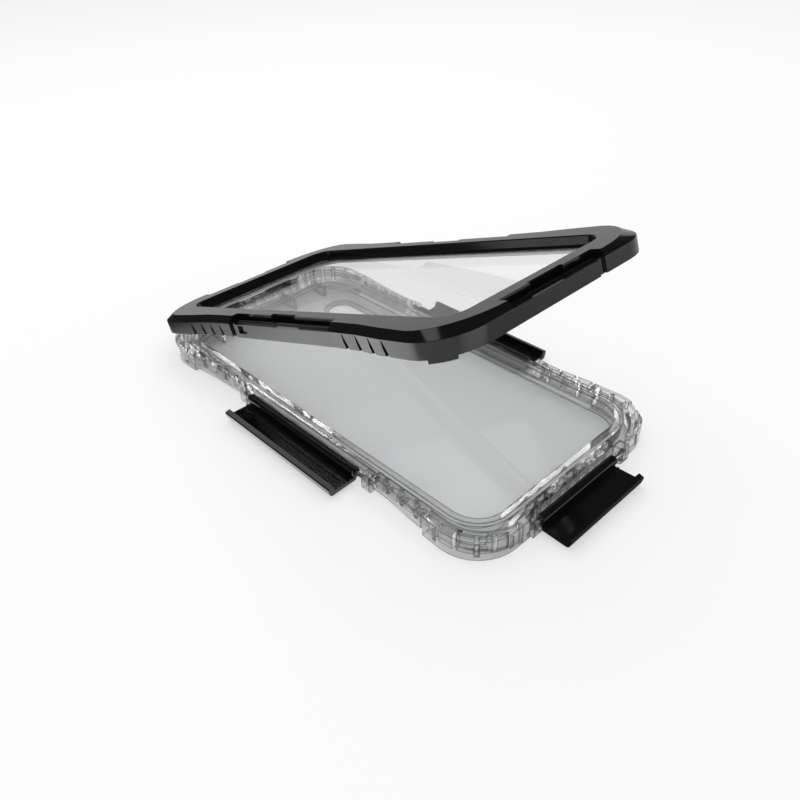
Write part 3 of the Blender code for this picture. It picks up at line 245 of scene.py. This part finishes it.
def noise(tree, place, scale, detail, spot):
    """A noise texture over a place."""
    node = add_node(tree, "ShaderNodeTexNoise", spot)
    node.inputs["Scale"].default_value = scale
    node.inputs["Detail"].default_value = detail
    tree.links.new(place, node.inputs["Vector"])
    return node.outputs["Fac"]


def ramp(tree, value, start, end, low, high, spot, interpolation="SMOOTHSTEP"):
    """A value turned from low at the start to high at the end, smoothly unless it says so."""
    node = add_node(tree, "ShaderNodeMapRange", spot)
    node.interpolation_type = interpolation
    node.inputs["From Min"].default_value = start
    node.inputs["From Max"].default_value = end
    node.inputs["To Min"].default_value = low
    node.inputs["To Max"].default_value = high
    tree.links.new(value, node.inputs["Value"])
    return node.outputs["Result"]


def ranged(tree, texture, low, high, spot):
    """A noise texture turned to a range, straight from its usual dark to its usual bright."""
    return ramp(tree, texture, 0.3, 0.7, low, high, spot, "LINEAR")


def measured(tree, operation, vector, target, spot):
    """One number from a vector and a target, such as their dot product or distance."""
    node = add_node(tree, "ShaderNodeVectorMath", spot)
    node.operation = operation
    tree.links.new(vector, node.inputs[0])
    feed(tree, node.inputs[1], target)
    return node.outputs["Value"]


def bump(tree, height, strength, distance, spot):
    """A bump from a height."""
    node = add_node(tree, "ShaderNodeBump", spot)
    node.inputs["Strength"].default_value = strength
    node.inputs["Distance"].default_value = distance
    tree.links.new(height, node.inputs["Height"])
    return node.outputs["Normal"]


def rounding(tree, reach, spot):
    """How far the surface turns close by: 1 on a flat, less beside an edge."""
    x, y = spot
    rounded = add_node(tree, "ShaderNodeBevel", (x - 200, y))
    rounded.samples = 6
    rounded.inputs["Radius"].default_value = reach
    geometry = add_node(tree, "ShaderNodeNewGeometry", (x - 200, y - 200))
    return measured(tree, "DOT_PRODUCT", rounded.outputs["Normal"],
                    geometry.outputs["Normal"], spot)


def black_plastic(colour):
    """Gloss black moulding: a fine pebble in the skin and soft smears in the gloss."""
    material, tree, shader, place = new_material("black_moulding")
    shader.inputs["Base Color"].default_value = (*colour, 1.0)
    shader.inputs["IOR"].default_value = 1.5
    smear = noise(tree, place, scale=60.0, detail=4.0, spot=(-900, 200))
    gloss = ranged(tree, smear, low=0.07, high=0.11, spot=(-500, 200))
    tree.links.new(gloss, shader.inputs["Roughness"])
    pebble = noise(tree, place, scale=1800.0, detail=2.0, spot=(-900, -200))
    skin = bump(tree, pebble, strength=0.04, distance=0.01 * MM, spot=(-400, -200))
    tree.links.new(skin, shader.inputs["Normal"])
    return material


def clear_plastic(name, colour, roughness):
    """Clear moulding with painted shade, its colour darkened to black along its edges, with a
    slight haze and the faintest flow waves.
    """
    material, tree, shader, place = new_material(name)
    # Painted shade: the colour goes to black beside every edge, standing in for the dark lines
    # that refraction draws there.
    turned = rounding(tree, PAINTED_EDGE_SHADE_REACH, (-800, 500))
    painted_edge_shade = ramp(tree, turned, start=0.9, end=0.996, low=1.0, high=0.0, spot=(-600, 500))
    tint = add_node(tree, "ShaderNodeMix", (-400, 500))
    tint.data_type = "RGBA"
    tree.links.new(painted_edge_shade, tint.inputs["Factor"])
    tint.inputs["A"].default_value = (*colour, 1.0)
    tint.inputs["B"].default_value = (0.0, 0.0, 0.0, 1.0)
    tree.links.new(tint.outputs["Result"], shader.inputs["Base Color"])
    shader.inputs["Transmission Weight"].default_value = 1.0
    shader.inputs["IOR"].default_value = 1.1
    shader.inputs["Alpha"].default_value = 0.92
    shader.inputs["Coat Weight"].default_value = 1.0
    shader.inputs["Coat IOR"].default_value = 1.5
    shader.inputs["Coat Roughness"].default_value = 0.02
    haze = noise(tree, place, scale=90.0, detail=3.0, spot=(-900, 200))
    gloss = ranged(tree, haze, low=roughness * 0.6, high=roughness * 1.5, spot=(-500, 200))
    tree.links.new(gloss, shader.inputs["Roughness"])
    flow = noise(tree, place, scale=45.0, detail=1.0, spot=(-900, -200))
    waves = bump(tree, flow, strength=0.02, distance=0.01 * MM, spot=(-400, -200))
    tree.links.new(waves, shader.inputs["Normal"])
    return material


def film_plastic(colour):
    """The thin window: clear, with a light milky haze."""
    material, tree, shader, place = new_material("window_membrane")
    shader.inputs["Base Color"].default_value = (*colour, 1.0)
    shader.inputs["Transmission Weight"].default_value = 1.0
    shader.inputs["IOR"].default_value = 1.15
    shader.inputs["Alpha"].default_value = 0.2
    haze = noise(tree, place, scale=30.0, detail=2.0, spot=(-900, 200))
    gloss = ranged(tree, haze, low=0.0, high=0.02, spot=(-500, 200))
    tree.links.new(gloss, shader.inputs["Roughness"])
    return material


def silicone(colour):
    """Matt silicone with a fine dusty skin."""
    material, tree, shader, place = new_material("seal_silicone")
    shader.inputs["Base Color"].default_value = (*colour, 1.0)
    shader.inputs["Subsurface Weight"].default_value = 0.15
    shader.inputs["Subsurface Radius"].default_value = (MM, MM, MM)
    dust = noise(tree, place, scale=900.0, detail=3.0, spot=(-900, 200))
    gloss = ranged(tree, dust, low=0.45, high=0.6, spot=(-500, 200))
    tree.links.new(gloss, shader.inputs["Roughness"])
    skin = bump(tree, dust, strength=0.15, distance=0.03 * MM, spot=(-400, -200))
    tree.links.new(skin, shader.inputs["Normal"])
    return material


def pin_steel(colour):
    """Bright drawn wire with fine lines round it."""
    material, tree, shader, place = new_material("pin_wire")
    shader.inputs["Base Color"].default_value = (*colour, 1.0)
    shader.inputs["Metallic"].default_value = 1.0
    lines = noise(tree, place, scale=2500.0, detail=2.0, spot=(-900, 200))
    gloss = ranged(tree, lines, low=0.12, high=0.26, spot=(-500, 200))
    tree.links.new(gloss, shader.inputs["Roughness"])
    return material


def clear_selection():
    """Leaves nothing selected or active."""
    for item in bpy.data.objects:
        item.select_set(False)
    bpy.context.view_layer.objects.active = None


def apply_modifier(item, kind, **settings):
    """Adds a modifier with its settings and applies it."""
    bpy.ops.object.modifier_add(type=kind)
    modifier = item.modifiers[-1]
    for name, value in settings.items():
        setattr(modifier, name, value)
    bpy.ops.object.modifier_apply(modifier=modifier.name)


def paint(item, material):
    """Gives a piece its one material."""
    item.data.materials.clear()
    item.data.materials.append(material)


def dress(node, edge, angle, body, material):
    """Puts a copy of a solid, merged and with its edges rounded, in its place."""
    source = frame["nodes"][node]
    clear_selection()
    item = bpy.data.objects.new(node.removesuffix("_frame") + "_moulding", source.data.copy())
    bpy.context.scene.collection.objects.link(item)
    item.select_set(True)
    bpy.context.view_layer.objects.active = item
    bpy.ops.object.mode_set(mode="EDIT")
    bpy.ops.mesh.select_all(action="SELECT")
    bpy.ops.mesh.remove_doubles(threshold=MERGE_DISTANCE)
    bpy.ops.mesh.tris_convert_to_quads(face_threshold=FLAT_ANGLE, shape_threshold=math.pi)
    bpy.ops.object.mode_set(mode="OBJECT")
    apply_modifier(item, "BEVEL", width=edge, segments=EDGE_SEGMENTS, limit_method="ANGLE",
                   angle_limit=angle, use_clamp_overlap=False)
    bpy.ops.object.shade_smooth_by_angle(angle=SMOOTH_ANGLE)
    apply_modifier(item, "WEIGHTED_NORMAL", keep_sharp=True)
    paint(item, material)
    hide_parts(node)
    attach(item, body)


def add_finger_bar(material):
    """The thin bar across the free end latch, by its lip, that a nail pulls on."""
    clear_selection()
    bpy.ops.mesh.primitive_cube_add(size=1.0)
    item = bpy.context.object
    item.name = "finger_bar"
    pin = Matrix.Translation(END_PIN_PLACE) @ Matrix.Rotation(math.pi, 4, "Z")
    foot = Matrix.Rotation(LATCH_HANG, 4, "X") @ Matrix.Translation(PLATE_FOOT)
    plate = Matrix.Rotation(PLATE_LEAN, 4, "X") @ Matrix.Translation(BAR_PLACE)
    item.matrix_world = pin @ foot @ plate @ Matrix.Diagonal((*BAR_SIZE, 1.0))
    bpy.ops.object.transform_apply(location=True, rotation=True, scale=True)
    apply_modifier(item, "BEVEL", width=BAR_EDGE, segments=BAR_SEGMENTS)
    bpy.ops.object.shade_smooth_by_angle(angle=SMOOTH_ANGLE)
    paint(item, material)
    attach(item, "latch_end")


class CASE_OT_tray(bpy.types.Operator):
    """Dress the clear tray and its camera window"""

    bl_idname = "phone_case.tray"
    bl_label = "Tray"

    def execute(self, context):
        colours = context.scene.case_colours
        edge = context.scene.case_edges.tray
        clear = clear_plastic("clear_tray", colours.clear, roughness=0.004)
        dress("tray", edge, CLEAR_EDGE_ANGLE, "tray", clear)
        paint(frame["nodes"]["camera_window"], film_plastic(colours.film))
        return {"FINISHED"}


class CASE_OT_bumpers(bpy.types.Operator):
    """Dress the four corner bumpers"""

    bl_idname = "phone_case.bumpers"
    bl_label = "Corner bumpers"

    def execute(self, context):
        edge = context.scene.case_edges.bumper
        clear = clear_plastic("clear_bumper", context.scene.case_colours.bumper, roughness=0.006)
        for node in BUMPERS:
            dress(node, edge, CLEAR_EDGE_ANGLE, "tray", clear)
        return {"FINISHED"}


class CASE_OT_pins(bpy.types.Operator):
    """Dress the steel pins"""

    bl_idname = "phone_case.pins"
    bl_label = "Pins"

    def execute(self, context):
        steel = pin_steel(context.scene.case_colours.steel)
        for node in PINS:
            paint(frame["nodes"][node], steel)
        return {"FINISHED"}


class CASE_OT_latches(bpy.types.Operator):
    """Dress the three latches"""

    bl_idname = "phone_case.latches"
    bl_label = "Latches"

    def execute(self, context):
        edge = context.scene.case_edges.latch
        black = black_plastic(context.scene.case_colours.black)
        for node in LATCHES:
            dress(node, edge, LATCH_EDGE_ANGLE, node, black)
        add_finger_bar(black)
        return {"FINISHED"}


class CASE_OT_lid(bpy.types.Operator):
    """Dress the lid frame, its window and its seal"""

    bl_idname = "phone_case.lid"
    bl_label = "Lid"

    def execute(self, context):
        colours = context.scene.case_colours
        black = black_plastic(colours.black)
        edge = context.scene.case_edges.lid
        dress("lid_frame", edge, LID_EDGE_ANGLE, "lid", black)
        paint(frame["nodes"]["lid_window"], film_plastic(colours.film))
        paint(frame["nodes"]["lid_seal"], silicone(colours.silicone))
        return {"FINISHED"}


class CASE_OT_studio(bpy.types.Operator):
    """Set the floor, the light and the camera"""

    bl_idname = "phone_case.studio"
    bl_label = "Studio"

    def execute(self, context):
        settings = context.scene.case_studio
        add_floor(settings)
        add_sky(settings)
        add_lamp("key", KEY_PLACE, KEY_SIZE, settings.key, glossy=False)
        add_lamp("glint", GLINT_PLACE, GLINT_SIZE, settings.glint, glossy=True)
        add_camera(settings)
        return {"FINISHED"}


def table_light(tree, place, settings):
    """What glossy faces see in the floor, by the place on it, in metres: painted light, brighter
    on the left, with a painted glow by the near side and painted shade by the free end and past
    the hinge end.
    """
    axes = add_node(tree, "ShaderNodeSeparateXYZ", (-1400, -400))
    tree.links.new(place, axes.inputs["Vector"])
    x, y = axes.outputs["X"], axes.outputs["Y"]
    sides = ramp(tree, x, -0.05, 0.0, settings.table_left, settings.table_right, (-1200, -200))
    # Painted light: a glowing patch of floor by the near side.
    glow = measured(tree, "DISTANCE", place, GLOW_PLACE, (-1400, -700))
    glow = ramp(tree, glow, 0.08, 0.03, 0.0, settings.table_glow, (-1200, -700))
    lit = compute(tree, "ADD", sides, glow, (-900, -400))
    # Painted shade: the floor's glossy light goes dark by the free end and past the hinge end,
    # standing in for the case's own shadow there.
    free_end = measured(tree, "DISTANCE", place, SHADE_PLACE, (-1400, -900))
    free_end = ramp(tree, free_end, 0.065, 0.045, 0.0, 1.0, (-1200, -900))
    past_hinge = ramp(tree, y, 0.08, 0.105, 0.0, 1.0, (-1200, -1100))
    far_left = ramp(tree, x, -0.24, -0.16, 0.0, 1.0, (-1200, -1300))
    left = ramp(tree, x, 0.0, -0.03, 0.0, 1.0, (-1000, -1300))
    hinge_end = compute(tree, "MULTIPLY", past_hinge, far_left, (-1000, -1100))
    hinge_end = compute(tree, "MULTIPLY", hinge_end, left, (-800, -1100))
    shade = compute(tree, "MAXIMUM", free_end, hinge_end, (-700, -900))
    return blended(tree, shade, lit, settings.dark, (-500, -600))


def mixed_shader(tree, factor, first, second, spot):
    """The first shader where the factor is 0 and the second where it is 1."""
    node = add_node(tree, "ShaderNodeMixShader", spot)
    tree.links.new(factor, node.inputs["Fac"])
    tree.links.new(first, node.inputs[1])
    tree.links.new(second, node.inputs[2])
    return node.outputs["Shader"]


def floor_paper(settings):
    """Pale paper, washed out to white where it is seen, with its own light for glossy faces."""
    material, tree, shader, place = new_material("floor_paper")
    shader.inputs["Base Color"].default_value = (*settings.floor, 1.0)
    shader.inputs["Specular IOR Level"].default_value = 0.1
    grain = noise(tree, place, scale=300.0, detail=2.0, spot=(-900, 200))
    gloss = ranged(tree, grain, low=0.85, high=0.95, spot=(-500, 200))
    tree.links.new(gloss, shader.inputs["Roughness"])
    glossy_light = add_node(tree, "ShaderNodeEmission", (-300, -600))
    tree.links.new(table_light(tree, place, settings), glossy_light.inputs["Strength"])
    white = add_node(tree, "ShaderNodeEmission", (100, -300))
    path = add_node(tree, "ShaderNodeLightPath", (-900, -1500))
    reflected = compute(tree, "SUBTRACT", path.outputs["Is Glossy Ray"],
                        path.outputs["Is Transmission Ray"], (-700, -1500))
    reflected = compute(tree, "MAXIMUM", reflected, 0.0, (-500, -1500))
    seen = compute(tree, "MULTIPLY", path.outputs["Is Camera Ray"], settings.wash, (100, 300))
    surface = mixed_shader(tree, reflected, shader.outputs["BSDF"],
                           glossy_light.outputs["Emission"], (100, 0))
    surface = mixed_shader(tree, seen, surface, white.outputs["Emission"], (300, 0))
    tree.links.new(surface, tree.nodes["Material Output"].inputs["Surface"])
    return material


def add_floor(settings):
    """A wide pale floor just under the case."""
    clear_selection()
    bpy.ops.mesh.primitive_plane_add(size=FLOOR_SIZE, location=(0.0, 0.0, -FLOOR_DROP))
    floor = bpy.context.object
    floor.name = "floor"
    bpy.ops.object.transform_apply(location=True, rotation=True, scale=True)
    paint(floor, floor_paper(settings))


def horizon(tree, direction, settings, spot):
    """What glossy faces see low down all round, by direction."""
    x, y = spot
    behind = measured(tree, "DOT_PRODUCT", direction, BACKDROP_DIRECTION, (x - 400, y))
    behind = ramp(tree, behind, -0.4, -0.2, settings.dark, settings.backdrop, (x - 200, y))
    front = measured(tree, "DOT_PRODUCT", direction, FRONT_CARD_DIRECTION, (x - 400, y - 200))
    front = ramp(tree, front, 0.65, 0.95, 0.0, settings.front_card, (x - 200, y - 200))
    return compute(tree, "ADD", behind, front, spot)


def add_sky(settings):
    """White light from all round; glossy faces see a bright horizon, a card and dark above."""
    world = bpy.data.worlds.new("studio_sky")
    bpy.context.scene.world = world
    world.use_nodes = True
    tree = world.node_tree
    background = tree.nodes["Background"]
    background.inputs["Color"].default_value = (1.0, 1.0, 1.0, 1.0)
    coordinates = add_node(tree, "ShaderNodeTexCoord", (-1400, 0))
    direction = coordinates.outputs["Generated"]
    height = measured(tree, "DOT_PRODUCT", direction, UPWARD, (-1200, 300))
    above = ramp(tree, height, 0.13, 0.2, 0.0, 1.0, (-1000, 300))
    card = measured(tree, "DOT_PRODUCT", direction, TOP_CARD_DIRECTION, (-1200, 600))
    card = ramp(tree, card, 0.988, 0.995, settings.dark, settings.top_card, (-1000, 600))
    low = horizon(tree, direction, settings, (-1000, 0))
    side = blended(tree, above, low, card, (-800, 150))
    path = add_node(tree, "ShaderNodeLightPath", (-1000, -400))
    soft = blended(tree, path.outputs["Is Diffuse Ray"], 1.0, settings.sky, (-700, -300))
    glossy = blended(tree, path.outputs["Is Glossy Ray"], soft, side, (-500, -150))
    upward = ramp(tree, height, 0.1, 0.35, 1.0, settings.overhead, (-700, -600))
    lighting = compute(tree, "GREATER_THAN", path.outputs["Diffuse Depth"], 0.5, (-700, -800))
    upward = blended(tree, lighting, upward, 1.0, (-500, -600))
    through = blended(tree, path.outputs["Is Transmission Ray"], glossy, upward, (-300, 0))
    tree.links.new(through, background.inputs["Strength"])


def add_lamp(name, place, size, power, glossy):
    """A rectangular lamp that shines at the case, and whether glossy faces show it."""
    lamp = bpy.data.lights.new(name, "AREA")
    lamp.shape = "RECTANGLE"
    lamp.size, lamp.size_y = size
    lamp.energy = power
    item = bpy.data.objects.new(name, lamp)
    bpy.context.scene.collection.objects.link(item)
    aim = (-Vector(place)).to_track_quat("-Z", "Y").to_matrix().to_4x4()
    item.matrix_world = Matrix.Translation(place) @ aim
    item.visible_glossy = glossy


def add_camera(settings):
    """The camera at the photograph's viewing angle."""
    camera = bpy.data.cameras.new("camera")
    camera.lens = settings.lens
    camera.sensor_width = CAMERA_SENSOR
    camera.clip_start = CAMERA_NEAREST
    item = bpy.data.objects.new("camera", camera)
    bpy.context.scene.collection.objects.link(item)
    turn = Matrix((CAMERA_RIGHT, CAMERA_UP, -Vector(CAMERA_FORWARD))).transposed().to_4x4()
    item.matrix_world = Matrix.Translation(CAMERA_PLACE) @ turn
    bpy.context.scene.camera = item


class CASE_PT_panel(bpy.types.Panel):
    """The case's pieces and settings."""

    bl_label = "Phone Case"
    bl_idname = "CASE_PT_panel"
    bl_space_type = "VIEW_3D"
    bl_region_type = "UI"
    bl_category = "Phone Case"

    def draw(self, context):
        layout = self.layout
        for group in (context.scene.case_colours, context.scene.case_edges,
                      context.scene.case_studio):
            box = layout.box()
            for key in group.__annotations__:
                box.prop(group, key)
        for operator in OPERATORS:
            layout.operator(operator.bl_idname)


OPERATORS = (CASE_OT_tray, CASE_OT_bumpers, CASE_OT_pins, CASE_OT_latches, CASE_OT_lid,
             CASE_OT_studio)
CLASSES = (CaseColours, CaseEdges, StudioSettings, *OPERATORS, CASE_PT_panel)


def register():
    """Adds the classes and their settings."""
    for item in CLASSES:
        bpy.utils.register_class(item)
    bpy.types.Scene.case_colours = bpy.props.PointerProperty(type=CaseColours)
    bpy.types.Scene.case_edges = bpy.props.PointerProperty(type=CaseEdges)
    bpy.types.Scene.case_studio = bpy.props.PointerProperty(type=StudioSettings)


def unregister():
    """Removes the settings and the classes."""
    del bpy.types.Scene.case_studio
    del bpy.types.Scene.case_edges
    del bpy.types.Scene.case_colours
    for item in reversed(CLASSES):
        bpy.utils.unregister_class(item)


def main():
    """Dresses the case."""
    register()
    bpy.context.scene.view_settings.view_transform = "Standard"
    bpy.ops.phone_case.tray()
    bpy.ops.phone_case.bumpers()
    bpy.ops.phone_case.pins()
    bpy.ops.phone_case.latches()
    bpy.ops.phone_case.lid()
    bpy.ops.phone_case.studio()


if __name__ == "__main__":
    main()
